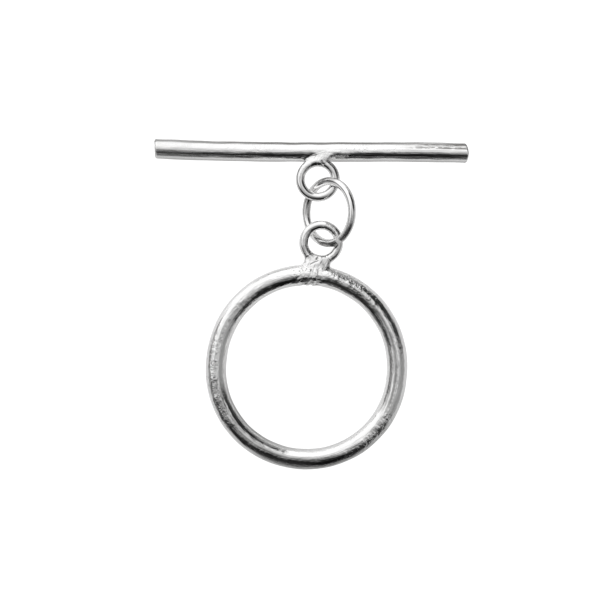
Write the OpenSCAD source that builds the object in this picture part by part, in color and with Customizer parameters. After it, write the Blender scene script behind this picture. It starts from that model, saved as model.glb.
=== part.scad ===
// Toggle clasp in round silver wire, lying flat on a surface as it is laid out for a picture.
// A straight bar and a round ring each carry a small soldered eye, and one jump ring links the eyes.
// Millimetres, +Z up. X runs along the bar and +Y from the ring to the bar.
// The origin is on the surface under the middle of the whole outline.

/* [Bar] */
// Length of the bar from end to end
bar_length = 31.4; // [28:0.2:38]
// Diameter of the bar's wire
bar_wire = 2; // [1.6:0.1:2.6]
// Distance of the eye from the middle of the bar, towards its right end
bar_eye_offset = 0.62; // [-1:0.02:2]
// How far the left end of the bar bows away from the eye
bar_left_bow = 0.32; // [0.06:0.02:0.8]
// How far the right end of the bar bows towards the eye
bar_right_bow = 0.12; // [0.06:0.02:0.4]
// Straight length of the bar on the left of its eye
bar_left_straight = 1.8; // [1.6:0.1:6]
// Straight length of the bar on the right of its eye
bar_right_straight = 7.4; // [2:0.1:9]
// Rounding of the edge at the left end, which is cut square
bar_left_rounding = 0.25; // [0.05:0.05:0.6]
// Rounding of the edge at the right end, which is worn rounder
bar_right_rounding = 0.45; // [0.05:0.05:0.6]

/* [Ring] */
// Outside width of the ring
ring_width = 20.2; // [18:0.1:24]
// How much longer than wide the ring is, measured through its eye
ring_stretch = 0.35; // [0.05:0.05:1]
// Diameter of the ring's wire
ring_wire = 2.05; // [1.6:0.05:2.6]
// Angle by which the ring lies turned, its eye leaning to the right
ring_turn = 6.7; // [0:0.1:15]

/* [Eyes] */
// Diameter of the hole in each eye
eye_hole = 2.6; // [2.3:0.1:3.2]
// Diameter of the wire of each eye
eye_wire = 0.9; // [0.7:0.05:1.1]
// Depth to which the eye is sunk into the bar
bar_eye_sink = 0.2; // [0.06:0.02:0.5]
// Angle by which the eye is set up the side of the bar
bar_eye_climb = 31; // [0:1:60]
// Width of the solder between the ring and its eye
ring_eye_stand_off = 0.08; // [0.02:0.02:0.2]
// Radius of the solder in the corners beside each eye
solder_fillet = 0.35; // [0.2:0.05:0.6]

/* [Jump ring] */
// Outside diameter of the jump ring
jump_width = 7; // [6.4:0.1:9]
// Diameter of the jump ring's wire
jump_wire = 0.8; // [0.6:0.05:1]
// Opening between its two cut ends, on the inner side of the jump ring
jump_inner_gap = 0.08; // [0.04:0.02:0.3]
// Opening between them on its outer side
jump_outer_gap = 0.6; // [0.3:0.02:0.8]

/* [Lie] */
// Room around the jump ring's wire where it runs through an eye
link_clearance = 0.27; // [0.2:0.01:0.4]
// Angle round the jump ring from its lowest point to the bar's eye
bar_eye_station = 69.5; // [66:0.5:80]
// Angle round the jump ring from its lowest point to the ring's eye
ring_eye_station = 74.5; // [65:0.5:85]

/* [Hidden] */

// Facets of a full circle, in a wire's section and along a bent wire
$fn = 96;
wire_facets = 40;
bow_facets = 1440;

// Radii of the wires and of their centre lines
bar_r = bar_wire / 2;
ring_r = ring_wire / 2;
eye_r = eye_wire / 2;
jump_r = jump_wire / 2;
ring_path_r = ring_width / 2 - ring_r;
ring_half_path = ring_path_r + ring_stretch / 2;
eye_path_r = eye_hole / 2 + eye_r;
eye_outer_r = eye_path_r + eye_r;
jump_path_r = jump_width / 2 - jump_r;

// Distance from the axis of the bar to the wire of its eye, and the eye's middle out from and above it
bar_to_eye_wire = bar_r + eye_r - bar_eye_sink;
bar_eye_out = bar_to_eye_wire * cos(bar_eye_climb) + eye_path_r;
bar_eye_up = bar_to_eye_wire * sin(bar_eye_climb);
// Distance from the middle of the ring to its eye
ring_to_eye = ring_half_path + ring_r + ring_eye_stand_off + eye_outer_r;

// The jump ring leans until its wire runs through the eyes with the stated room
jump_lean = asin((jump_r + eye_r + link_clearance) / (eye_path_r * sin(bar_eye_station)));
jump_z = jump_path_r * sin(jump_lean) + jump_r;

// Free play of the jump ring's wire in an eye, and the shares of it taken up in the picture
play = eye_hole / 2 - jump_r;
bar_eye_shares = [-0.36, 0.4, 0];
ring_eye_shares = [-0.2, -0.05, 0];
// Where the jump ring's cut ends meet, as an angle round it from its lowest point
jump_cut_station = -117;

// Point of the jump ring's centre line at an angle from its lowest point, the bar's side positive
function on_jump_ring(angle) = [
    -jump_path_r * cos(jump_lean) * cos(angle),
    jump_path_r * sin(angle),
    jump_z - jump_path_r * sin(jump_lean) * cos(angle)
];

// Middle of each eye, with the middle of the jump ring over X = 0 and Y = 0
bar_eye = on_jump_ring(bar_eye_station) + play * bar_eye_shares;
ring_eye = on_jump_ring(-ring_eye_station) + play * ring_eye_shares;

// Each eye's height sets how far its carrier is rolled or tipped from lying with the eye level
bar_eye_slope = asin((bar_eye[2] - bar_r) / norm([bar_eye_out, bar_eye_up]));
bar_roll = bar_eye_slope - atan2(bar_eye_up, bar_eye_out);
ring_tip = asin((ring_eye[2] - ring_r) / (ring_half_path + ring_to_eye));

// Point on the bar's axis behind its eye, middle of the bar's length, and middle of the ring
bar_root = [bar_eye[0], bar_eye[1] + norm([bar_eye_out, bar_eye_up]) * cos(bar_eye_slope), bar_r];
bar_middle_x = bar_root[0] - bar_eye_offset;
ring_way = [sin(ring_turn) * cos(ring_tip), cos(ring_turn) * cos(ring_tip), sin(ring_tip)];
ring_middle = ring_eye - ring_to_eye * ring_way;

// Radius and angle of an arc that starts along a line and reaches out by rise over a run
function bow_radius(run, rise) = (run * run + rise * rise) / (2 * rise);
function bow_angle(run, rise) = atan2(run, bow_radius(run, rise) - rise);

// Runs of the two bows, short of the rounded ends
left_run = bar_root[0] - bar_left_straight - (bar_middle_x - bar_length / 2) - bar_left_rounding;
right_run = bar_middle_x + bar_length / 2 - bar_right_rounding - bar_root[0] - bar_right_straight;

// Outline of the whole clasp seen from above, to put the origin under its middle
ring_reach_x = ring_path_r + ring_stretch / 2 * sin(ring_turn) + ring_r;
ring_reach_y = ring_path_r + ring_stretch / 2 * cos(ring_turn) + ring_r;
low_x = min(bar_middle_x - bar_length / 2, ring_middle[0] - ring_reach_x);
high_x = max(bar_middle_x + bar_length / 2, ring_middle[0] + ring_reach_x);
low_y = ring_middle[1] - ring_reach_y;
high_y = bar_root[1] + bar_r + bar_left_bow;
origin = [(low_x + high_x) / 2, (low_y + high_y) / 2, 0];

// A rounded end is a hair thinner than its wire, so that their sides don't coincide, and this deep in it
end_step = 0.01;
end_seat = 0.5;

// Solder bites this far into the wires that it joins, so that their surfaces cross cleanly
solder_bite = 0.04;
// Radius of the solder over the side of the ring, over the side of the bar, and its width on the eye
ring_side_fillet = 0.5;
bar_side_fillet = 0.3;
solder_eye_width = 0.75 * eye_wire;

// Middle of a fillet of radius f in the corner between two discs of radius a and b set d apart
function fillet_y(a, b, d, f) = (d * d + (a + f) * (a + f) - (b + f) * (b + f)) / (2 * d);
function fillet_x(a, b, d, f) = sqrt((a + f) * (a + f) - pow(fillet_y(a, b, d, f), 2));

// A wire bent into a full circle
module wire_loop(path_r, wire_r) {
    rotate_extrude() translate([path_r, 0]) circle(r = wire_r, $fn = wire_facets);
}

// A wire bent along part of a circle
module wire_arc(path_r, wire_r, start, angle, facets = $fn) {
    rotate_extrude(start = start, angle = angle, $fn = facets)
        translate([path_r, 0])
            circle(r = wire_r, $fn = wire_facets);
}

// A straight wire along +X
module wire_along_x(length, wire_r) {
    rotate([0, 90, 0]) cylinder(r = wire_r, h = length, $fn = wire_facets);
}

// The end of a wire, rounded at its edge, pointing along +X and seated in the wire behind it
module rounded_end(wire_r, rounding) {
    core_r = wire_r - end_step;
    rotate([0, 90, 0])
        rotate_extrude($fn = wire_facets) {
            translate([0, -end_seat]) square([core_r, end_seat]);
            square([core_r - rounding, rounding]);
            translate([core_r - rounding, 0])
                intersection() {
                    circle(r = rounding);
                    square(rounding);
                }
        }
}

// Flat outline of the solder in the corners between two discs, the second centred at Y = d
module solder_between(a, b, d, f) {
    x = fillet_x(a - solder_bite, b - solder_bite, d, f);
    y = fillet_y(a - solder_bite, b - solder_bite, d, f);
    difference() {
        polygon([[0, 0], [x, y], [0, d], [-x, y]]);
        for (side = [-1, 1]) translate([side * x, y]) circle(r = f);
    }
}

// The same for a disc of radius b over a straight edge at Y = a
module solder_on_straight(a, b, d, f) {
    y = a - solder_bite + f;
    reach = b - solder_bite + f;
    x = sqrt(reach * reach - (d - y) * (d - y));
    difference() {
        polygon([[0, 0], [x, y], [0, d], [-x, y]]);
        for (side = [-1, 1]) translate([side * x, y]) circle(r = f);
    }
}

// Outline of the solder seen along the carrying wire, which is a disc of radius a at the origin
module solder_side(a, d, f) {
    solder_between(a, eye_r, d, f);
    translate([-solder_eye_width / 2, d - eye_r]) square([solder_eye_width, eye_wire]);
}

// Solder lens between a wire's axis and the eye's wire, cut to its side outline across the wire.
// The side outline climbs from the axis by an angle.
module solder(side_a, side_d, side_f, climb = 0) {
    tall = side_a + side_d;
    intersection() {
        translate([0, 0, -tall]) linear_extrude(2 * tall) children();
        rotate([climb, 0, 0])
            rotate([0, -90, 0])
                linear_extrude(4 * eye_outer_r, center = true)
                    solder_side(side_a, side_d, side_f);
    }
}

// The bar's eye and its solder, standing level along +Y from above the bar's axis
module eye_on_bar() {
    side_y = bar_r * cos(bar_eye_climb);
    translate([0, bar_eye_out, bar_eye_up]) wire_loop(eye_path_r, eye_r);
    solder(bar_r, bar_to_eye_wire, bar_side_fillet, bar_eye_climb)
        difference() {
            solder_on_straight(side_y, eye_outer_r, bar_eye_out, solder_fillet);
            translate([0, bar_eye_out]) circle(r = eye_path_r - solder_bite);
        }
}

// The ring's eye and its solder, standing along +Y from the ring's wire
module eye_on_ring() {
    arc_to_eye = ring_to_eye - ring_stretch / 2;
    translate([0, ring_to_eye, 0]) wire_loop(eye_path_r, eye_r);
    translate([0, ring_half_path, 0])
        solder(ring_r, ring_to_eye - eye_path_r - ring_half_path, ring_side_fillet)
            translate([0, -ring_path_r])
                difference() {
                    solder_between(ring_path_r + ring_r, eye_outer_r, arc_to_eye, solder_fillet);
                    circle(r = ring_path_r);
                    translate([0, arc_to_eye]) circle(r = eye_path_r);
                }
}

// One side of the bar: straight along +X, then bowed towards +Y, then rounded off
module bar_side(straight, run, rise, rounding) {
    radius = bow_radius(run, rise);
    angle = bow_angle(run, rise);
    wire_along_x(straight, bar_r);
    translate([straight, radius, 0]) wire_arc(radius, bar_r, 270, angle, bow_facets);
    translate([straight + run, rise, 0])
        rotate([0, 0, angle])
            rounded_end(bar_r, rounding);
}

module bar_wire_bent() {
    mirror([1, 0, 0]) bar_side(bar_left_straight, left_run, bar_left_bow, bar_left_rounding);
    mirror([0, 1, 0]) bar_side(bar_right_straight, right_run, bar_right_bow, bar_right_rounding);
}

module ring_wire_bent() {
    for (half = [0, 180])
        rotate([0, 0, half])
            translate([0, ring_stretch / 2, 0]) {
                wire_arc(ring_path_r, ring_r, 0, 180);
                translate([ring_path_r, 0, 0])
                    rotate([90, 0, 0])
                        cylinder(r = ring_r, h = ring_stretch, $fn = wire_facets);
            }
}

module toggle_bar() {
    color("silver")
        translate(bar_root - origin) {
            bar_wire_bent();
            rotate([-bar_roll, 0, 0]) rotate([0, 0, 180]) eye_on_bar();
        }
}

// Flat outline of the opening between the jump ring's cut ends, which widens outwards along +X.
// It reaches past the wire by a margin so small that its two sides don't cross on the inner side.
module jump_opening() {
    widening = (jump_outer_gap - jump_inner_gap) / jump_wire;
    margin = jump_inner_gap * jump_wire / (2 * (jump_outer_gap + jump_inner_gap));
    inner_x = jump_path_r - jump_r - margin;
    outer_x = jump_path_r + jump_r + margin;
    inner_y = (jump_inner_gap - widening * margin) / 2;
    outer_y = (jump_outer_gap + widening * margin) / 2;
    polygon([[inner_x, -inner_y], [outer_x, -outer_y], [outer_x, outer_y], [inner_x, inner_y]]);
}

module jump_ring() {
    color("gainsboro")
        translate([0, 0, jump_z] - origin)
            rotate([0, -jump_lean, 0])
                difference() {
                    wire_loop(jump_path_r, jump_r);
                    rotate([0, 0, 180 - jump_cut_station])
                        linear_extrude(2 * jump_wire, center = true)
                            jump_opening();
                }
}

module toggle_ring() {
    color("silver")
        translate(ring_middle - origin)
            rotate([ring_tip, 0, -ring_turn]) {
                ring_wire_bent();
                eye_on_ring();
            }
}

toggle_bar();
jump_ring();
toggle_ring();
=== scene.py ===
# Dresses the toggle clasp in worn, polished silver and sets it on a plain pale floor.
# Shapes are worked out in millimetres, with +Z up, X along the bar and +Y from the ring to the bar,
# and turned into metres where a mesh or the camera is placed. Named angles are in degrees. The angles
# called turn, around and slope, which are found for many points at once, are in radians.
import math

import bmesh
import bpy
import numpy as np
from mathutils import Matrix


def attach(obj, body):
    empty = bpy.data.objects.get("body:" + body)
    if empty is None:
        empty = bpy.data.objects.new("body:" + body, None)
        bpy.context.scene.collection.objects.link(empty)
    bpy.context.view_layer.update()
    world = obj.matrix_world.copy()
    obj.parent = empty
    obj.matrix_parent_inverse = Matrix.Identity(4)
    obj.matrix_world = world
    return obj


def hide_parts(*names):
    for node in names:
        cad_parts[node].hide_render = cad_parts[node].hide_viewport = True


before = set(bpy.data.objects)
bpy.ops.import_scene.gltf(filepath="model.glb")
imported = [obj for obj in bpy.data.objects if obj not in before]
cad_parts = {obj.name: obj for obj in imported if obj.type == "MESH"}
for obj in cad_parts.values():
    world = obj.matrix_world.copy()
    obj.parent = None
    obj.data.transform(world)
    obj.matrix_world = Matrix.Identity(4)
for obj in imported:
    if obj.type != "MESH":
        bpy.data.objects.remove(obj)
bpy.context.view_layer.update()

MM = 0.001

# Sizes of the bar, straight for some way to each side of its eye and bowed from there on
BAR_LENGTH = 31.4
BAR_R = 1.0
BAR_EYE_OFFSET = 0.62
BAR_LEFT_BOW = 0.32
BAR_RIGHT_BOW = 0.12
BAR_LEFT_STRAIGHT = 1.8
BAR_RIGHT_STRAIGHT = 7.4
BAR_LEFT_ROUNDING = 0.25
BAR_RIGHT_ROUNDING = 0.15

# Sizes of the ring, which is longer than wide by its stretch
RING_R = 1.025
RING_PATH_R = 20.2 / 2 - RING_R
RING_STRETCH = 0.35
RING_TURN = 6.7

# Sizes of the eyes and how they sit on the bar and the ring
EYE_HOLE = 2.6
EYE_R = 0.45
EYE_PATH_R = EYE_HOLE / 2 + EYE_R
BAR_EYE_SINK = 0.2
BAR_EYE_CLIMB = 31
RING_EYE_STAND_OFF = 0.08

# Sizes of the jump ring and of the wedge between its cut ends
JUMP_R = 0.4
JUMP_PATH_R = 7 / 2 - JUMP_R
JUMP_CUT_STATION = -117
JUMP_INNER_GAP = 0.08
JUMP_OUTER_GAP = 0.6
JUMP_CUT_ROUNDING = 0.08

# How the pieces lie on each other: the room between the wires, where along the jump ring each eye
# sits, and the shares that it takes up of the play of the jump ring's wire in its hole
LINK_CLEARANCE = 0.27
BAR_EYE_STATION = 69.5
RING_EYE_STATION = 74.5
BAR_EYE_SHARES = np.array([-0.36, 0.4, 0])
RING_EYE_SHARES = np.array([-0.2, -0.05, 0])


def sin(angle):
    return math.sin(math.radians(angle))


def cos(angle):
    return math.cos(math.radians(angle))


def asin(share):
    return math.degrees(math.asin(share))


def about_x(angle):
    """Matrix of a turn about X."""
    return np.array([[1, 0, 0], [0, cos(angle), -sin(angle)], [0, sin(angle), cos(angle)]])


def about_y(angle):
    """Matrix of a turn about Y."""
    return np.array([[cos(angle), 0, sin(angle)], [0, 1, 0], [-sin(angle), 0, cos(angle)]])


def about_z(angle):
    """Matrix of a turn about Z."""
    return np.array([[cos(angle), -sin(angle), 0], [sin(angle), cos(angle), 0], [0, 0, 1]])


# How the clasp lies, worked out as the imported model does
BAR_TO_EYE_WIRE = BAR_R + EYE_R - BAR_EYE_SINK
BAR_EYE_OUT = BAR_TO_EYE_WIRE * cos(BAR_EYE_CLIMB) + EYE_PATH_R
BAR_EYE_UP = BAR_TO_EYE_WIRE * sin(BAR_EYE_CLIMB)
BAR_TO_EYE = math.hypot(BAR_EYE_OUT, BAR_EYE_UP)
RING_HALF_PATH = RING_PATH_R + RING_STRETCH / 2
RING_TO_EYE = RING_HALF_PATH + RING_R + RING_EYE_STAND_OFF + EYE_PATH_R + EYE_R
JUMP_LEAN = asin((JUMP_R + EYE_R + LINK_CLEARANCE) / (EYE_PATH_R * sin(BAR_EYE_STATION)))
JUMP_Z = JUMP_PATH_R * sin(JUMP_LEAN) + JUMP_R
PLAY = EYE_HOLE / 2 - JUMP_R


def on_jump_ring(station):
    """Point of the jump ring's centre line at an angle from its lowest point, the bar's side positive."""
    return JUMP_PATH_R * np.array([
        -cos(JUMP_LEAN) * cos(station),
        sin(station),
        -sin(JUMP_LEAN) * cos(station),
    ]) + [0, 0, JUMP_Z]


bar_eye = on_jump_ring(BAR_EYE_STATION) + PLAY * BAR_EYE_SHARES
ring_eye = on_jump_ring(-RING_EYE_STATION) + PLAY * RING_EYE_SHARES
BAR_EYE_SLOPE = asin((bar_eye[2] - BAR_R) / BAR_TO_EYE)
BAR_ROLL = BAR_EYE_SLOPE - asin(BAR_EYE_UP / BAR_TO_EYE)
RING_TIP = asin((ring_eye[2] - RING_R) / (RING_HALF_PATH + RING_TO_EYE))
ring_axes = about_z(-RING_TURN) @ about_x(RING_TIP)
bar_root = np.array([bar_eye[0], bar_eye[1] + BAR_TO_EYE * cos(BAR_EYE_SLOPE), BAR_R])
ring_middle = ring_eye - RING_TO_EYE * ring_axes[:, 1]

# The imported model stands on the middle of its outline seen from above
bar_middle_x = bar_root[0] - BAR_EYE_OFFSET
ring_reach_y = RING_PATH_R + RING_STRETCH / 2 * cos(RING_TURN) + RING_R
origin = np.array([
    bar_middle_x,
    (bar_root[1] + BAR_R + BAR_LEFT_BOW + ring_middle[1] - ring_reach_y) / 2,
    0,
])


class Place:
    """Where a shape stands: its middle and its own three axes, the columns of a matrix."""

    def __init__(self, middle, axes):
        self.middle = np.asarray(middle, float)
        self.axes = np.asarray(axes, float)

    def inside(self, points):
        """Points of the outer frame, in this one."""
        return (points - self.middle) @ self.axes

    def outside(self, points):
        """Points of this frame, in the outer one."""
        return points @ self.axes.T + self.middle


BAR_PLACE = Place(bar_root - origin, np.eye(3))
BAR_EYE_PLACE = Place(
    about_x(-BAR_ROLL) @ [0, -BAR_EYE_OUT, BAR_EYE_UP], about_x(-BAR_ROLL) @ about_z(180)
)
RING_PLACE = Place(ring_middle - origin, ring_axes)
RING_EYE_PLACE = Place([0, RING_TO_EYE, 0], np.eye(3))
JUMP_PLACE = Place(np.array([0, 0, JUMP_Z]) - origin, about_y(-JUMP_LEAN))


def smooth_least(a, b, reach):
    """The lesser of two distances, filleted where they differ by less than reach."""
    near = np.clip(reach - np.abs(a - b), 0, None) / reach
    return np.minimum(a, b) - near**2 * reach / 4


def smooth_step(low, high, value):
    """0 at low and beyond, 1 at high and beyond, smooth between."""
    share = np.clip((value - low) / (high - low), 0, 1)
    return share * share * (3 - 2 * share)


def bell(distance, width):
    """1 at no distance, falling off smoothly over the width."""
    return np.exp(-((distance / width) ** 2))


class Unevenness:
    """Shallow waves in the surface of a hand-worked wire, along it and round it.

    turn is the length after which the waves repeat along a closed wire.
    """

    def __init__(self, seed, depth, shortest, longest, turn, count=26):
        rng = np.random.default_rng(seed)
        waves = turn / np.exp(rng.uniform(math.log(shortest), math.log(longest), count))
        self.along = 2 * math.pi * np.round(waves) / turn
        self.around = rng.integers(-4, 5, count)
        self.phase = rng.uniform(0, 2 * math.pi, count)
        self.height = depth * rng.uniform(0.5, 1, count) / (1 + np.abs(self.around))
        self.height *= math.sqrt(2 / count)

    def __call__(self, along, around):
        total = np.zeros(np.shape(along))
        for step, turns, phase, height in zip(self.along, self.around, self.phase, self.height):
            total += height * np.cos(step * along + turns * around + phase)
        return total


class Lumps:
    """Small uneven lumps in all directions, as on solder that was left as it flowed."""

    def __init__(self, seed, depth, size, count=18):
        rng = np.random.default_rng(seed)
        ways = rng.normal(size=(count, 3))
        ways /= np.linalg.norm(ways, axis=1, keepdims=True)
        self.ways = ways * 2 * math.pi / (size * rng.uniform(0.7, 1.6, (count, 1)))
        self.phase = rng.uniform(0, 2 * math.pi, count)
        self.height = depth * math.sqrt(2 / count)

    def __call__(self, points):
        total = np.zeros(points.shape[:-1])
        for way, phase in zip(self.ways, self.phase):
            total += np.cos(points @ way + phase)
        return self.height * total


bar_waves = Unevenness(seed=3, depth=0.020, shortest=2.2, longest=14, turn=40)
ring_waves = Unevenness(seed=8, depth=0.022, shortest=2.2, longest=16, turn=2 * math.pi * RING_PATH_R)
eye_waves = Unevenness(seed=5, depth=0.012, shortest=1.2, longest=6, turn=2 * math.pi * EYE_PATH_R)
jump_waves = Unevenness(seed=6, depth=0.008, shortest=1.6, longest=8, turn=2 * math.pi * JUMP_PATH_R)
solder_lumps = Lumps(seed=11, depth=0.008, size=0.8)
seam_lumps = Lumps(seed=12, depth=0.036, size=0.4)

# Height over which the waves fade out towards a wire's underside, so that it rests where it should
WAVES_FADE = 0.4


def ellipsoid(points, middle, radii, axes):
    """About the distance from an ellipsoid with its own axes."""
    scaled = ((points - middle) @ axes) / radii
    size = np.linalg.norm(scaled, axis=-1)
    return (size - 1) * np.min(radii)


def groove(aside, width, depth):
    """Depth of a small crease at a distance to its side."""
    return depth * bell(aside, width)


def notch(points, start, end, width, depth):
    """Depth of a short crease between two places, seen from above."""
    start = np.asarray(start)
    way = np.asarray(end) - start
    from_start = points[..., :2] - start
    share = np.clip(from_start @ way / (way @ way), 0, 1)
    return groove(np.linalg.norm(from_start - share[..., None] * way, axis=-1), width, depth)


def loop_wire(points, path_r, wire_r):
    """Distance from a round wire ring about Z, the angle round the ring and the angle round the wire."""
    out = np.hypot(points[..., 0], points[..., 1]) - path_r
    turn = np.arctan2(points[..., 0], points[..., 1])
    return np.hypot(out, points[..., 2]) - wire_r, turn, np.arctan2(points[..., 2], out)


def turn_from_far(turn):
    """An angle round a ring, counted from its far side, so that it jumps at the near one."""
    return np.where(turn > 0, turn - math.pi, turn + math.pi)


def eye_distance(points):
    """Distance from an eye's wire and the angle round the eye."""
    distance, turn, around = loop_wire(points, EYE_PATH_R, EYE_R)
    return distance + eye_waves(turn * EYE_PATH_R, around), turn


# Where the count along each wire starts, apart for each wire so that no two have the same marks
BAR_EYE_WIRE_FROM = 50
RING_EYE_WIRE_FROM = 80
JUMP_WIRE_FROM = 120


def eye_wire(points, turn, wire_from):
    """Place along an eye's wire, and out and up in its section."""
    out = np.hypot(points[..., 0], points[..., 1]) - EYE_PATH_R
    return turn * EYE_PATH_R + wire_from, out, points[..., 2]


def nearer_wire(on_eye, eye, carrier):
    """Places on the eye's wire or on that of what carries it, whichever is nearer."""
    return np.stack([np.where(on_eye, *pair) for pair in zip(eye, carrier)], axis=-1)


# The bar's two halves, from its eye outwards, and their bows, which are arcs
LEFT_END = bar_root[0] - bar_middle_x + BAR_LENGTH / 2
RIGHT_END = BAR_LENGTH - LEFT_END
LEFT_RADIUS = (LEFT_END - BAR_LEFT_STRAIGHT) ** 2 / (2 * BAR_LEFT_BOW)
RIGHT_RADIUS = (RIGHT_END - BAR_RIGHT_STRAIGHT) ** 2 / (2 * BAR_RIGHT_BOW)

# How far the right end falls back at its two sides, seen from above, as if nipped off
RIGHT_END_FALL = 0.3

# The bar's upper near side is a little flatter: how much, and from where to where across the bar
BAR_FLATTENING = 0.042
BAR_FLATTENED = (-0.3, -0.6)

# The bar's solder: a leaning pad, the fillets at the eye and at the pad, and how far its lumps reach
BAR_SOLDER_MIDDLE = np.array([0.12, -0.72, 0.66])
BAR_SOLDER_RADII = np.array([1.3, 0.52, 0.40])
BAR_SOLDER_AXES = about_z(14) @ about_x(-15) @ about_y(-6)
BAR_EYE_FILLET = 0.35
BAR_PAD_FILLET = 0.22
BAR_LUMPS_REACH = 1.5

# Notch where the wire of the bar's eye meets: its two ends seen from above, its width and its depth
BAR_EYE_NOTCH = ((0.38, -0.92), (0.50, -1.25), 0.09, 0.14)


def bar_axis(x):
    """Sideways place and slope of the bar's axis at a distance from its eye."""
    left = np.clip(-x - BAR_LEFT_STRAIGHT, 0, None)
    right = np.clip(x - BAR_RIGHT_STRAIGHT, 0, None)
    place = left**2 / (2 * LEFT_RADIUS) - right**2 / (2 * RIGHT_RADIUS)
    return place, -left / LEFT_RADIUS - right / RIGHT_RADIUS


def bar_section(points):
    """Place along the bar, and across and up from its axis."""
    place, slope = bar_axis(points[..., 0])
    return points[..., 0], (points[..., 1] - place) * np.cos(slope), points[..., 2]


def bar_distance(points):
    """Distance from the bowed wire of the bar, with its two ends rounded at the edge."""
    along, across, up = bar_section(points)
    waves = bar_waves(along, np.arctan2(up, across)) * smooth_step(0, WAVES_FADE, up + BAR_R)
    flatter = BAR_FLATTENING * smooth_step(*BAR_FLATTENED, across) * smooth_step(0, WAVES_FADE, up)
    slope = bar_axis(along)[1]
    left = -along - LEFT_END + across * np.sin(slope)
    right = along - RIGHT_END - across * np.sin(slope) + RIGHT_END_FALL * across**2
    rounding = np.where(along < 0, BAR_LEFT_ROUNDING, BAR_RIGHT_ROUNDING)
    side = np.hypot(across, up) - BAR_R + waves + flatter + rounding
    end = np.maximum(left, right) + rounding
    outside = np.hypot(np.clip(side, 0, None), np.clip(end, 0, None))
    return np.minimum(np.maximum(side, end), 0) + outside - rounding


# Each piece below has its place, the box and the step of the grid that its mesh is found on, its
# field, which is the distance from its surface at points of its own frame, and wire, which gives what
# its material reads there: the place along the nearest wire, the places across and up in that wire's
# section, and how much is solder. The box leaves a margin round the piece, and room above the bar
# for the rise of its eye.
MARGIN = 0.2
EYE_RISE = 0.4


class Bar:
    """The bar, its eye and the solder between them."""

    place = BAR_PLACE
    low = np.array([-LEFT_END, -BAR_EYE_OUT - EYE_PATH_R - EYE_R, -BAR_R]) - MARGIN
    high = np.array([RIGHT_END, BAR_R + BAR_LEFT_BOW, BAR_R + EYE_RISE]) + MARGIN
    step = 0.062

    def pad(self, points):
        return ellipsoid(points, BAR_SOLDER_MIDDLE, BAR_SOLDER_RADII, BAR_SOLDER_AXES)

    def field(self, points):
        bar = bar_distance(points)
        eye = eye_distance(BAR_EYE_PLACE.inside(points))[0]
        eye = eye + notch(points, *BAR_EYE_NOTCH) * smooth_step(0, 0.3, points[..., 2])
        near = bell(np.linalg.norm(points - BAR_SOLDER_MIDDLE, axis=-1), BAR_LUMPS_REACH)
        joined = smooth_least(bar, eye, BAR_EYE_FILLET)
        joined = smooth_least(joined, self.pad(points), BAR_PAD_FILLET)
        return joined + near * solder_lumps(points)

    def wire(self, points):
        """Solder lies at the eye and on the pad, and half stains the bar for a way to the right of it."""
        bar = bar_distance(points)
        own = BAR_EYE_PLACE.inside(points)
        eye, turn = eye_distance(own)
        on_eye = eye < bar
        along, across, up = bar_section(points)
        wire = nearer_wire(on_eye, eye_wire(own, turn, BAR_EYE_WIRE_FROM), (along, across, up))
        solder = smooth_step(BAR_EYE_FILLET + 0.1, 0.0, np.abs(bar - eye))
        solder = np.maximum(solder, smooth_step(0.25, 0.05, self.pad(points)))
        stained = 0.5 * smooth_step(3.6, 2.2, along) * smooth_step(0.5, 1.2, along)
        stained = stained * smooth_step(0.2, -0.1, across)
        return wire, np.where(on_eye, solder, np.maximum(solder, stained))


# How the ring strays from its oval, bent as it is by hand: in three lobes, and a little inwards
RING_LOBES = 0.022
RING_INWARDS = 0.033

# The ring's solder: a pad on the left and a lower step on the right, each with its own lean
RING_SOLDER_MIDDLE = np.array([-0.25, RING_HALF_PATH + 1.1, 0.16])
RING_SOLDER_RADII = np.array([1.15, 0.76, 0.48])
RING_SOLDER_AXES = about_x(-14)
RING_STEP_MIDDLE = np.array([0.35, RING_HALF_PATH + 1.15, 0.15])
RING_STEP_RADII = np.array([0.75, 0.6, 0.34])
RING_STEP_AXES = about_x(-16) @ about_y(-12)

# The fillets of the ring's eye, of which the left one is wider, of the pad and of the step
RING_EYE_FILLET = 0.3
RING_EYE_LEFT_FILLET = 0.9
RING_PAD_FILLET = 0.35
RING_STEP_FILLET = 0.2
RING_LUMPS_REACH = 1.9

# Where the solder and the metal beside it are dull
RING_DULL_MIDDLE = np.array([-0.15, RING_HALF_PATH + 1.3, 0])
RING_DULL_RADII = np.array([1.6, 1.05, 1.3])

# Notches in the solder at the ring's eye: two ends seen from above, width and depth
RING_EYE_NOTCHES = [
    ((-0.76, 10.31), (-0.1, 10.69), 0.07, 0.05),
    ((-0.2, 10.9), (-0.15, 10.95), 0.09, 0.09),
]

# The seam that closes the ring, deeper on its inner side, and the metal that was filed beside it:
# places along the wire from the eye, and the seam's slant across the wire
SEAM_AT = -0.49
SEAM_SLANT = 0.19
SEAM_WIDTH = 0.07
SEAM_OUTER_DEPTH = 0.02
SEAM_INNER_DEPTH = 0.07
FILED_AT = -0.7
FILING_AZIMUTH = -40
FILING_STRETCH = np.array([1, 0.3, 1])


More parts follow.
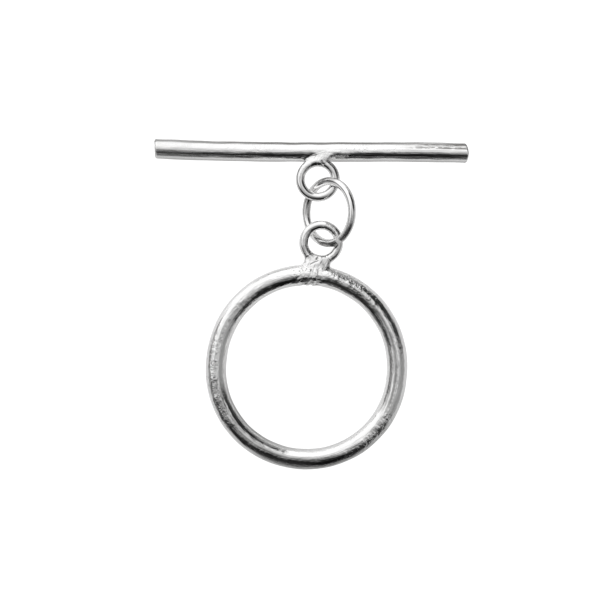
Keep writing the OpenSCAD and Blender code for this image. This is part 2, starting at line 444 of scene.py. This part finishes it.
class Ring:
    """The ring with its seam, its eye and the solder between them."""

    place = RING_PLACE
    low = np.array([-RING_PATH_R - RING_R, -RING_HALF_PATH - RING_R, -RING_R]) - MARGIN
    high = np.array([RING_PATH_R + RING_R, RING_TO_EYE + EYE_PATH_R + EYE_R, RING_R]) + MARGIN
    step = 0.085

    def ring_distance(self, points):
        """Distance from the wire of the ring, the angle round the ring and out and up in its section."""
        reach = RING_STRETCH / 2
        y = points[..., 1] - np.clip(points[..., 1], -reach, reach)
        turn = np.arctan2(points[..., 0], y)
        bend = RING_LOBES * np.cos(3 * (turn + math.radians(RING_TURN))) - RING_INWARDS
        out = np.hypot(points[..., 0], y) - RING_PATH_R - bend
        up = points[..., 2]
        waves = ring_waves(turn * RING_PATH_R, np.arctan2(up, out))
        waves = waves * smooth_step(0, WAVES_FADE, up + RING_R)
        return np.hypot(out, up) - RING_R + waves, turn, out, up

    def eye_side(self, points):
        """1 on the half of the ring that has the eye and the seam."""
        return smooth_step(-1, 1, points[..., 1])

    def beside_seam(self, turn, out):
        """Distance along the wire from the seam that closes the ring."""
        return turn * RING_PATH_R - SEAM_SLANT * out - SEAM_AT

    def seamed(self, points, ring, turn, out):
        """The ring's distance with the groove of its seam and the filed metal beside it."""
        inner = SEAM_OUTER_DEPTH + (SEAM_INNER_DEPTH - SEAM_OUTER_DEPTH) * smooth_step(0, -0.9, out)
        seam = groove(self.beside_seam(turn, out), SEAM_WIDTH, inner)
        filed = bell(turn * RING_PATH_R - FILED_AT, 1.5) * smooth_step(0.1, -0.5, out)
        lumps = seam_lumps(points @ about_z(FILING_AZIMUTH) * FILING_STRETCH)
        return ring + self.eye_side(points) * (seam + filed * lumps)

    def field(self, points):
        ring, turn, out, up = self.ring_distance(points)
        ring = self.seamed(points, ring, turn, out)
        eye = eye_distance(RING_EYE_PLACE.inside(points))[0]
        left = smooth_step(0.2, -1.2, points[..., 0])
        fillet = RING_EYE_FILLET + (RING_EYE_LEFT_FILLET - RING_EYE_FILLET) * left
        joined = smooth_least(ring, eye, fillet)
        pad = ellipsoid(points, RING_SOLDER_MIDDLE, RING_SOLDER_RADII, RING_SOLDER_AXES)
        joined = smooth_least(joined, pad, RING_PAD_FILLET)
        step = ellipsoid(points, RING_STEP_MIDDLE, RING_STEP_RADII, RING_STEP_AXES)
        joined = smooth_least(joined, step, RING_STEP_FILLET)
        for line in RING_EYE_NOTCHES:
            joined = joined + notch(points, *line)
        near = bell(np.linalg.norm(points - RING_SOLDER_MIDDLE, axis=-1), RING_LUMPS_REACH)
        return joined + near * solder_lumps(points)

    def wire(self, points):
        """The seam and what was filed beside it are finished as the solder is."""
        ring, turn, out, up = self.ring_distance(points)
        own = RING_EYE_PLACE.inside(points)
        eye, eye_turn = eye_distance(own)
        on_ring = (turn_from_far(turn) * RING_PATH_R, out, up)
        wire = nearer_wire(eye < ring, eye_wire(own, eye_turn, RING_EYE_WIRE_FROM), on_ring)
        away = np.linalg.norm((points - RING_DULL_MIDDLE) / RING_DULL_RADII, axis=-1)
        seam = 0.75 * smooth_step(0.6, 0.15, np.abs(self.beside_seam(turn, out)))
        filed = bell(turn * RING_PATH_R - FILED_AT, 1.1) * smooth_step(0, -0.4, out)
        filed = np.maximum(seam, filed) * self.eye_side(points)
        return wire, np.maximum(smooth_step(1.1, 0.75, away), filed)


class JumpRing:
    """The jump ring, whose cut ends stand apart in a narrow wedge."""

    place = JUMP_PLACE
    high = np.array([JUMP_PATH_R + JUMP_R, JUMP_PATH_R + JUMP_R, JUMP_R]) + MARGIN / 2
    low = -high
    step = 0.045

    def loop(self, points):
        """Distance from the closed wire, the place along it, and points turned so that X is at the cut."""
        turned = points @ about_z(180 - JUMP_CUT_STATION)
        distance, turn, around = loop_wire(turned, JUMP_PATH_R, JUMP_R)
        along = turn_from_far(turn - math.pi / 2) * JUMP_PATH_R
        return distance + jump_waves(along, around), along, turned

    def field(self, points):
        loop, along, turned = self.loop(points)
        middle = (JUMP_INNER_GAP + JUMP_OUTER_GAP) / 4
        widening = (JUMP_OUTER_GAP - JUMP_INNER_GAP) / (4 * JUMP_R)
        aside = np.abs(turned[..., 1]) - middle - widening * (turned[..., 0] - JUMP_PATH_R)
        far = JUMP_PATH_R
        aside = np.where(turned[..., 0] > 0, aside, far) / math.hypot(1, widening)
        return -smooth_least(-loop, aside, JUMP_CUT_ROUNDING)

    def wire(self, points):
        loop, along, turned = self.loop(points)
        out = np.hypot(turned[..., 0], turned[..., 1]) - JUMP_PATH_R
        no_solder = np.zeros(len(points))
        return np.stack([along + JUMP_WIRE_FROM, out, turned[..., 2]], axis=-1), no_solder


def slopes(field, points, reach=0.012):
    """How fast a field grows along each axis at points."""
    found = np.empty_like(points)
    for axis in range(3):
        aside = np.zeros(3)
        aside[axis] = reach
        found[:, axis] = (field(points + aside) - field(points - aside)) / (2 * reach)
    return found


def sampled(field, axes, slab=32):
    """A field's values on a grid, worked out a slab at a time to save memory."""
    values = np.empty([len(axis) for axis in axes])
    for start in range(0, len(axes[0]), slab):
        part = slice(start, start + slab)
        block = np.stack(np.meshgrid(axes[0][part], axes[1], axes[2], indexing="ij"), axis=-1)
        values[part] = field(block)
    return values


def settled(field, points, farthest, passes=3, least=0.25):
    """Points moved onto the surface where a field is zero, each by no more than farthest in a pass.

    least is the least square of the slope to reckon with.
    """
    for _ in range(passes):
        rate = slopes(field, points)
        size = np.clip((rate**2).sum(axis=1), least, None)
        points = points - rate * np.clip(field(points) / size, -farthest, farthest)[:, None]
    return points


def net(field, low, high, step):
    """Points and quads of the surface where a field is zero, with one point in each cell it crosses."""
    counts = np.ceil((high - low) / step).astype(int) + 1
    values = sampled(field, [low[axis] + step * np.arange(counts[axis]) for axis in range(3)])
    strides = np.array([counts[1] * counts[2], counts[2], 1])
    total = np.zeros((values.size, 3))
    hits = np.zeros(values.size)
    faces = []
    for axis in range(3):
        u, v = (axis + 1) % 3, (axis + 2) % 3
        first = np.take(values, range(counts[axis] - 1), axis)
        second = np.take(values, range(1, counts[axis]), axis)
        starts = np.argwhere((first < 0) != (second < 0))
        a = first[tuple(starts.T)]
        b = second[tuple(starts.T)]
        crossing = starts.astype(float)
        crossing[:, axis] += a / (a - b)
        key = starts @ strides
        around = [key - strides[u] - strides[v], key - strides[v], key, key - strides[u]]
        for cell in around:
            hits += np.bincount(cell, minlength=values.size)
            for part in range(3):
                total[:, part] += np.bincount(cell, crossing[:, part], minlength=values.size)
        quads = np.stack(around, axis=1)
        faces.append(np.where((a < 0)[:, None], quads, quads[:, ::-1]))
    cells = np.flatnonzero(hits)
    number = np.full(values.size, -1)
    number[cells] = np.arange(len(cells))
    points = low + step * total[cells] / hits[cells, None]
    return settled(field, points, step), number[np.concatenate(faces)]


def closed_mesh(name, points, faces, nearest=0.004):
    """A mesh in millimetres, whose points are merged where they lie nearer together than nearest."""
    mesh = bpy.data.meshes.new(name)
    mesh.from_pydata(points.tolist(), [], faces.tolist())
    merged = bmesh.new()
    merged.from_mesh(mesh)
    bmesh.ops.remove_doubles(merged, verts=merged.verts, dist=nearest)
    merged.to_mesh(mesh)
    merged.free()
    return mesh


def unit(vectors):
    return vectors / np.linalg.norm(vectors, axis=-1, keepdims=True)


def soldered_piece(name, clasp):
    """A piece made of wires that solder joins, in its place on the clasp and smooth by its own normals."""
    mesh = closed_mesh(name, *net(clasp.field, clasp.low, clasp.high, clasp.step))
    points = np.empty(3 * len(mesh.vertices))
    mesh.vertices.foreach_get("co", points)
    points = points.reshape(-1, 3)
    normals = unit(slopes(clasp.field, points)) @ clasp.place.axes.T
    wire, solder = clasp.wire(points)
    mesh.vertices.foreach_set("co", (clasp.place.outside(points) * MM).ravel())
    mesh.shade_smooth()
    mesh.normals_split_custom_set_from_vertices(normals.tolist())
    mesh.attributes.new("wire", "FLOAT_VECTOR", "POINT").data.foreach_set("vector", wire.ravel())
    mesh.attributes.new("solder", "FLOAT", "POINT").data.foreach_set("value", solder)
    piece = bpy.data.objects.new(name, mesh)
    bpy.context.collection.objects.link(piece)
    return piece


class Graph:
    """A node tree built up by short calls, whose inputs are numbers or outputs of earlier calls."""

    def __init__(self, tree):
        self.tree = tree
        tree.nodes.clear()

    def add(self, kind, inputs=None, output=0, **settings):
        made = self.tree.nodes.new(kind)
        for key, value in settings.items():
            setattr(made, key, value)
        for key, value in (inputs or {}).items():
            if isinstance(value, bpy.types.NodeSocket):
                self.tree.links.new(value, made.inputs[key])
            else:
                made.inputs[key].default_value = value
        return made.outputs[output] if made.outputs else made

    def maths(self, operation, *values):
        return self.add("ShaderNodeMath", dict(enumerate(values)), operation=operation)

    def total(self, *values):
        found = values[0]
        for value in values[1:]:
            found = self.maths("ADD", found, value)
        return found

    def product(self, *values):
        found = values[0]
        for value in values[1:]:
            found = self.maths("MULTIPLY", found, value)
        return found

    def weighted(self, *pairs):
        """Sum of values, each times its weight."""
        return self.total(*(self.maths("MULTIPLY", value, weight) for value, weight in pairs))

    def away(self, value, place):
        """How far a value is from a place, to either side."""
        return self.maths("ABSOLUTE", self.maths("SUBTRACT", value, place))

    def span(self, value, low, high, out_low=0.0, out_high=1.0):
        """A value that goes smoothly from out_low to out_high as the input goes from low to high."""
        inputs = {0: value, 1: low, 2: high, 3: out_low, 4: out_high}
        return self.add("ShaderNodeMapRange", inputs, interpolation_type="SMOOTHSTEP")

    def stretched(self, vector, factors):
        return self.add("ShaderNodeVectorMath", {0: vector, 1: factors}, operation="MULTIPLY")

    def parts(self, vector):
        """The three numbers of a vector."""
        made = self.tree.nodes.new("ShaderNodeSeparateXYZ")
        self.tree.links.new(vector, made.inputs[0])
        return made.outputs[:]

    def joined(self, *numbers):
        return self.add("ShaderNodeCombineXYZ", dict(enumerate(numbers)))

    def dot(self, vector, way):
        inputs = {0: vector, 1: way}
        return self.add("ShaderNodeVectorMath", inputs, output="Value", operation="DOT_PRODUCT")

    def noise(self, vector, scale=1.0, detail=2.0):
        return self.add("ShaderNodeTexNoise", {"Vector": vector, "Scale": scale, "Detail": detail})

    def mixed(self, share, a, b):
        """A colour between a and b."""
        made = self.tree.nodes.new("ShaderNodeMix")
        made.data_type = "RGBA"
        for name, value in {"Factor": share, "A": a, "B": b}.items():
            socket = next(s for s in made.inputs if s.name == name and s.enabled)
            if isinstance(value, bpy.types.NodeSocket):
                self.tree.links.new(value, socket)
            else:
                socket.default_value = value
        return next(s for s in made.outputs if s.enabled)


def way_to(azimuth, zenith):
    """Direction given by an angle clockwise from +Y, seen from above, and an angle down from +Z."""
    return sin(azimuth) * sin(zenith), cos(azimuth) * sin(zenith), cos(zenith)


SILVER = (0.952, 0.95, 0.947, 1)
# The dark colour of tarnish, also used for painted shade and painted reflections
TARNISH_AND_SHADE = (0.18, 0.175, 0.17, 1)

# Heights of what is worn or left on the silver, in millimetres
MARK_HEIGHT = 0.065
PIT_HEIGHT = -0.02
LUMP_HEIGHT = 0.07
STROKE_HEIGHT = 0.06

# The way of the file's strokes seen from above, and how often they change along it, across it and up
STROKE_AZIMUTH = 35
STROKE_CHANGES = (0.8, 4.0, 1.5)

# Where the ring is worn: middle and half length of each stretch, along the wire from its far side
RING_WORN = [(11.9, 4.8), (-8.8, 2.3), (-24.5, 3.0), (27.4, 1.4)]

# The ring's bands of painted dark reflection: middle and half length along the wire from its far
# side, middle and half width across it, darkness
RING_PAINTED_REFLECTIONS = [
    (4.5, 9.0, 0.05, 0.32, 0.5),
    (-13.8, 3.8, -0.55, 0.18, 0.6),
    (-18.0, 7.5, -0.15, 0.10, 0.5),
    (7.5, 6.0, 0.60, 0.12, 0.6),
    (14.5, 4.5, 0.68, 0.07, 0.45),
]

# The painted dark reflection in a line along the bar's far side: its height and from where across it shows
PAINTED_REFLECTION_LINE_UP = 0.54
PAINTED_REFLECTION_LINE_ACROSS = (0.5, 0.7)

# The scuffs towards the bar's right end: where they start and are full, and the place of their dashes
SCUFFED = (7.5, 11.5)
DASHES_ACROSS = 0.42

# The jump ring's stretches of painted shade: middle along the wire, inner edge across it, darkness
JUMP_PAINTED_SHADE = [(111.7, -0.05, 0.9), (121.4, -0.05, 0.6), (117.3, -0.5, 0.4)]

# The middle of the jump ring's dull stretch, next to one of its cut ends
JUMP_DULL = 128.7


def worn_share(graph, wire, along, across, solder, stretches):
    """Where silver is worn: in patches and in given stretches, but not on a ring's inner side."""
    worn = graph.span(graph.noise(wire, 0.42), 0.46, 0.68, 0.0, 0.4)
    for middle, half in stretches:
        stretch = graph.span(graph.away(along, middle), half * 1.2, half * 0.7)
        worn = graph.maths("MAXIMUM", worn, stretch)
    outer = graph.maths("MAXIMUM", graph.span(across, -0.3, 0.1), solder)
    return graph.maths("MULTIPLY", worn, outer)


def file_strokes(graph, place):
    """Fine strokes of a file, long one way and short across it."""
    ways = (way_to(STROKE_AZIMUTH, 90), way_to(STROKE_AZIMUTH + 90, 90), way_to(0, 0))
    stretched = graph.joined(*(
        graph.maths("MULTIPLY", graph.dot(place, way), changes)
        for way, changes in zip(ways, STROKE_CHANGES)
    ))
    return graph.noise(stretched)


def silver(name, streak_depth=0.03, streak_length=2.2, worn_stretches=(), details=None):
    """Polished silver wire: drawn streaks, marks and pits where it is worn, and filed, duller solder.

    worn_stretches are the middle and half the length of each worn stretch, as places along the wire.
    details adds what one piece alone has: it takes the graph and returns more darkening, which includes
    painted shade and painted reflections, and more roughness.
    """
    material = bpy.data.materials.new(name)
    material.use_nodes = True
    graph = Graph(material.node_tree)
    wire = graph.add("ShaderNodeAttribute", output="Vector", attribute_name="wire")
    solder = graph.add("ShaderNodeAttribute", output="Fac", attribute_name="solder")
    along, across, up = graph.parts(wire)
    place = graph.add("ShaderNodeTexCoord", output="Object")
    place = graph.stretched(place, (1 / MM, 1 / MM, 1 / MM))

    slow = 1 / streak_length
    streaks = graph.noise(graph.stretched(wire, (slow, 6, 6)), detail=3)
    hairlines = graph.noise(graph.stretched(wire, (3 * slow, 15, 15)))
    peel = graph.noise(graph.stretched(wire, (2.5 * slow, 1.8, 1.8)))

    worn = worn_share(graph, wire, along, across, solder, worn_stretches)
    marks = graph.noise(graph.stretched(wire, (3.2, 2.6, 2.6)))
    marks = graph.product(marks, worn, graph.span(graph.noise(wire, 1.1), 0.35, 0.6))
    pits = graph.add("ShaderNodeTexVoronoi", {"Vector": wire, "Scale": 4}, output="Distance")
    pits = graph.maths("MULTIPLY", graph.span(pits, 0.4, 0.1), worn)
    lumps = graph.maths("MULTIPLY", graph.noise(place, 1.6, detail=1), solder)
    strokes = file_strokes(graph, place)

    drawn = graph.weighted(
        (streaks, streak_depth),
        (hairlines, 0.2 * streak_depth),
        (peel, 1.4 * streak_depth),
        (marks, MARK_HEIGHT),
        (pits, PIT_HEIGHT),
    )
    height = graph.total(
        graph.maths("MULTIPLY", drawn, graph.span(solder, 0.3, 0.9, 1.0, 0.0)),
        graph.maths("MULTIPLY", lumps, LUMP_HEIGHT),
        graph.product(strokes, solder, STROKE_HEIGHT),
    )
    polish = graph.span(streaks, 0.35, 0.75, 0.05, 0.10)
    rough = graph.total(polish, graph.weighted((pits, 0.12), (worn, 0.03), (solder, 0.22)))
    dark_strokes = graph.product(graph.span(strokes, 0.42, 0.3), solder, 0.4)
    # Darkening: tarnish in the pits and dark file strokes, to which each piece's details add painted shade
    # and painted reflections
    darkening = graph.total(graph.maths("MULTIPLY", pits, 0.25), dark_strokes)
    if details:
        more_darkening, more_rough = details(graph, along, across, up, streaks)
        darkening = graph.maths("ADD", darkening, more_darkening)
        rough = graph.maths("ADD", rough, more_rough)

    bump = graph.add("ShaderNodeBump", {"Strength": 1.0, "Distance": MM, "Height": height})
    shader = graph.add("ShaderNodeBsdfPrincipled", {
        "Base Color": graph.mixed(graph.maths("MINIMUM", darkening, 1.0), SILVER, TARNISH_AND_SHADE),
        "Metallic": 1.0,
        "Roughness": rough,
        "Normal": bump,
    })
    graph.add("ShaderNodeOutputMaterial", {"Surface": shader})
    return material


def bar_scuffs(graph, along, across, up):
    """Dashes along the bar's upper far side, and paler scuffs beside them, towards its right end."""
    grain = graph.stretched(graph.joined(along, across, up), (1.5, 9, 9))
    grain = graph.noise(grain, detail=3)
    dashes = graph.span(graph.away(across, DASHES_ACROSS), 0.16, 0.06)
    dashes = graph.product(dashes, graph.span(grain, 0.4, 0.52), 0.9)
    beside = graph.span(across, DASHES_ACROSS, DASHES_ACROSS + 0.1)
    patch = graph.product(beside, graph.span(across, 0.85, 0.7))
    patch = graph.product(patch, graph.span(grain, 0.35, 0.6, 0.25, 0.6))
    return graph.product(graph.maths("MAXIMUM", dashes, patch), graph.span(along, *SCUFFED))


def bar_end_faces(graph, along, across):
    """Where the bar's two end faces are."""
    right = graph.maths("ADD", along, graph.product(across, across, RIGHT_END_FALL))
    right = graph.span(right, RIGHT_END - 0.14, RIGHT_END - 0.06)
    left = graph.span(along, -LEFT_END + 0.16, -LEFT_END + 0.08)
    return graph.maths("MAXIMUM", right, left)


def bar_details(graph, along, across, up, streaks):
    """The bar's painted dark reflection line and scuffs, painted shade low on its near side, dull end faces
    and left half.
    """
    on_bar = graph.maths("LESS_THAN", along, BAR_LENGTH)
    # A thin line of painted dark reflection high on the bar's far side
    line = graph.product(
        graph.span(graph.away(up, PAINTED_REFLECTION_LINE_UP), 0.24, 0.08),
        graph.span(across, *PAINTED_REFLECTION_LINE_ACROSS),
        graph.span(streaks, 0.3, 0.6, 0.4, 0.95),
        on_bar,
    )
    scuffs = graph.product(bar_scuffs(graph, along, across, up), on_bar)
    # Painted shade: darker low on the bar's near side
    low = graph.product(graph.span(across, -0.78, -0.92), on_bar, 0.35)
    rough = graph.total(
        graph.maths("MULTIPLY", scuffs, 0.1),
        graph.product(bar_end_faces(graph, along, across), on_bar, 0.5),
        graph.span(along, -3, -14, 0.0, 0.2),
    )
    return graph.total(line, scuffs, low), rough


def ring_details(graph, along, across, up, streaks):
    """Streaky painted dark reflections in bands along the upper side of the ring."""
    upper = graph.product(graph.span(up, 0.0, 0.2), graph.span(streaks, 0.35, 0.6, 0.5, 1.0))
    darkening = 0.0
    for middle, half, side, half_width, share in RING_PAINTED_REFLECTIONS:
        band = graph.product(
            graph.span(graph.away(along, middle), half, half * 0.6),
            graph.span(graph.away(across, side), half_width * 1.3, half_width * 0.6),
            share,
        )
        darkening = graph.maths("MAXIMUM", darkening, band)
    return graph.product(darkening, upper), 0.0


def jump_ring_details(graph, along, across, up, streaks):
    """Streaky painted shade on the jump ring, mostly on its outer side where it passes through the eyes."""
    darkening = 0.0
    for middle, inner_edge, share in JUMP_PAINTED_SHADE:
        band = graph.product(
            graph.span(graph.away(along, middle), 1.5, 0.7),
            graph.span(across, inner_edge - 0.07, inner_edge + 0.07),
            share,
        )
        darkening = graph.maths("ADD", darkening, band)
    dull = graph.span(graph.away(along, JUMP_DULL), 2.2, 1.2, 0.0, 0.22)
    return graph.product(darkening, graph.span(streaks, 0.35, 0.6, 0.6, 1.0)), dull


def finished(piece, node, material):
    """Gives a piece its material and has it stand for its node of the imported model."""
    piece.data.materials.append(material)
    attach(piece, "root")
    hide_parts(node)


# The floor's size in metres, its own glow, and the share and strength of the white that the camera sees
FLOOR_SIZE = 8
FLOOR_GLOW = 0.28
WHITE_SHARE = 0.75
WHITE_STRENGTH = 1.36

# Where reflections see the floor darker: the middle, radius and softness of each place, and the light left
FLOOR_SHADE = [
    ((6, -48), 30, 26, 0.08),
    ((-5, -10.5), 3.5, 5, 0.5),
]


def grey(level):
    return level, level, level, 1


def floor_light(graph):
    """Share of its light that the floor has at a place."""
    place = graph.add("ShaderNodeTexCoord", output="Object")
    left = 1.0
    for (x, y), radius, softness, least in FLOOR_SHADE:
        inputs = {0: place, 1: (x * MM, y * MM, 0)}
        away = graph.add("ShaderNodeVectorMath", inputs, output="Value", operation="DISTANCE")
        low, high = (radius - softness / 2) * MM, (radius + softness / 2) * MM
        left = graph.maths("MULTIPLY", left, graph.span(away, low, high, least, 1.0))
    return left


def add_floor():
    """A wide pale floor with a soft sheen, which the camera sees nearly white and almost without shadow."""
    bpy.ops.mesh.primitive_plane_add(size=FLOOR_SIZE)
    floor = bpy.context.object
    floor.name = "floor"
    material = bpy.data.materials.new("pale_floor")
    material.use_nodes = True
    graph = Graph(material.node_tree)
    paper = graph.add("ShaderNodeBsdfDiffuse", {"Color": grey(0.9)})
    sheen = graph.add("ShaderNodeBsdfAnisotropic", {"Color": grey(1), "Roughness": 0.3})
    gloss = graph.add("ShaderNodeFresnel", {"IOR": 1.45})
    lit = graph.add("ShaderNodeMixShader", {0: gloss, 1: paper, 2: sheen})
    glow = graph.add("ShaderNodeEmission", {"Color": grey(1), "Strength": FLOOR_GLOW})
    lit = graph.add("ShaderNodeAddShader", {0: lit, 1: glow})
    unlit = graph.add("ShaderNodeBsdfDiffuse", {"Color": grey(0.01)})
    lit = graph.add("ShaderNodeMixShader", {0: floor_light(graph), 1: unlit, 2: lit})
    white = graph.add("ShaderNodeEmission", {"Color": grey(1), "Strength": WHITE_STRENGTH})
    seen = graph.add("ShaderNodeLightPath", output="Is Camera Ray")
    share = graph.maths("MULTIPLY", seen, WHITE_SHARE)
    surface = graph.add("ShaderNodeMixShader", {0: share, 1: lit, 2: white})
    graph.add("ShaderNodeOutputMaterial", {"Surface": surface})
    floor.data.materials.append(material)


# The room round the clasp, painted one over the other: azimuth, zenith, radius, softness and brightness
ROOM_LEVEL = 0.05
ROOM = [
    # Ceiling and pale reflectors on the right, on the left, behind and in front
    (195, 5, 24, 36, 0.17),
    (98, 80, 29, 22, 0.30),
    (115, 30, 16, 24, 0.36),
    (265, 84, 20, 24, 0.24),
    (20, 92, 24, 24, 0.32),
    (188, 96, 20, 14, 0.12),
    # Black cards in front and at the upper right
    (180, 42, 20, 12, 0.02),
    (160, 62, 21, 12, 0.004),
    (140, 68, 14, 14, 0.03),
    (210, 58, 13, 12, 0.02),
    (228, 66, 10, 12, 0.01),
    (243, 60, 7, 12, 0.03),
    (195, 72, 4, 10, 0.09),
    (56, 56, 17, 14, 0.02),
    (70, 68, 12, 14, 0.04),
    # Small overhead panels and the dim halo of the softbox
    (286, 30, 24, 30, 0.50),
    (5, 24, 16, 24, 0.80),
    (78, 14, 11, 14, 0.72),
    (250, 34, 7, 18, 0.40),
    (275, 48, 14, 12, 0.95),
    # Large softbox at the upper left, down to the floor
    (306, 62, 19, 14, 1.1),
    (328, 70, 30, 12, 1.1),
    (350, 68, 24, 12, 1.1),
    (355, 42, 15, 16, 1.1),
    (310, 38, 10, 20, 1.0),
]


def add_room():
    """Soft light from all round, with a pale backdrop where the camera looks past the floor."""
    world = bpy.data.worlds.new("room")
    world.use_nodes = True
    bpy.context.scene.world = world
    graph = Graph(world.node_tree)
    way = graph.add("ShaderNodeTexCoord", output="Generated")
    level = ROOM_LEVEL
    for azimuth, zenith, radius, softness, brightness in ROOM:
        share = graph.dot(way, way_to(azimuth, zenith))
        share = graph.span(share, cos(radius + softness / 2), cos(max(radius - softness / 2, 0)))
        level = graph.add("ShaderNodeMix", {0: share, 2: level, 3: brightness})
    seen = graph.add("ShaderNodeLightPath", output="Is Camera Ray")
    level = graph.add("ShaderNodeMix", {0: seen, 2: level, 3: 1.0})
    light = graph.add("ShaderNodeBackground", {"Color": grey(1), "Strength": level})
    graph.add("ShaderNodeOutputWorld", {"Surface": light})


# The photograph shows 60 millimetres from side to side, looking straight down
VIEW_WIDTH = 60
VIEW_MIDDLE = np.array([-1.166, 0.433])
VIEW_LEVEL = 1.0
CAMERA_DISTANCE = 600


def add_camera():
    """A camera with a long lens, straight above the clasp."""
    data = bpy.data.cameras.new("camera")
    data.sensor_width = 36
    data.lens = data.sensor_width * CAMERA_DISTANCE / VIEW_WIDTH
    data.clip_start = 0.05
    data.clip_end = 20
    camera = bpy.data.objects.new("camera", data)
    camera.location = (*(VIEW_MIDDLE * MM), (VIEW_LEVEL + CAMERA_DISTANCE) * MM)
    bpy.context.collection.objects.link(camera)
    bpy.context.scene.camera = camera


finished(
    soldered_piece("bar_with_eye", Bar()),
    "toggle_bar",
    silver("silver_bar", 0.022, 4.5, details=bar_details),
)
finished(
    soldered_piece("ring_with_eye", Ring()),
    "toggle_ring",
    silver("silver_ring", worn_stretches=RING_WORN, details=ring_details),
)
finished(
    soldered_piece("linking_ring", JumpRing()),
    "jump_ring",
    silver("silver_jump_ring", 0.012, details=jump_ring_details),
)

add_floor()
add_room()
add_camera()
bpy.context.scene.view_settings.view_transform = "Standard"
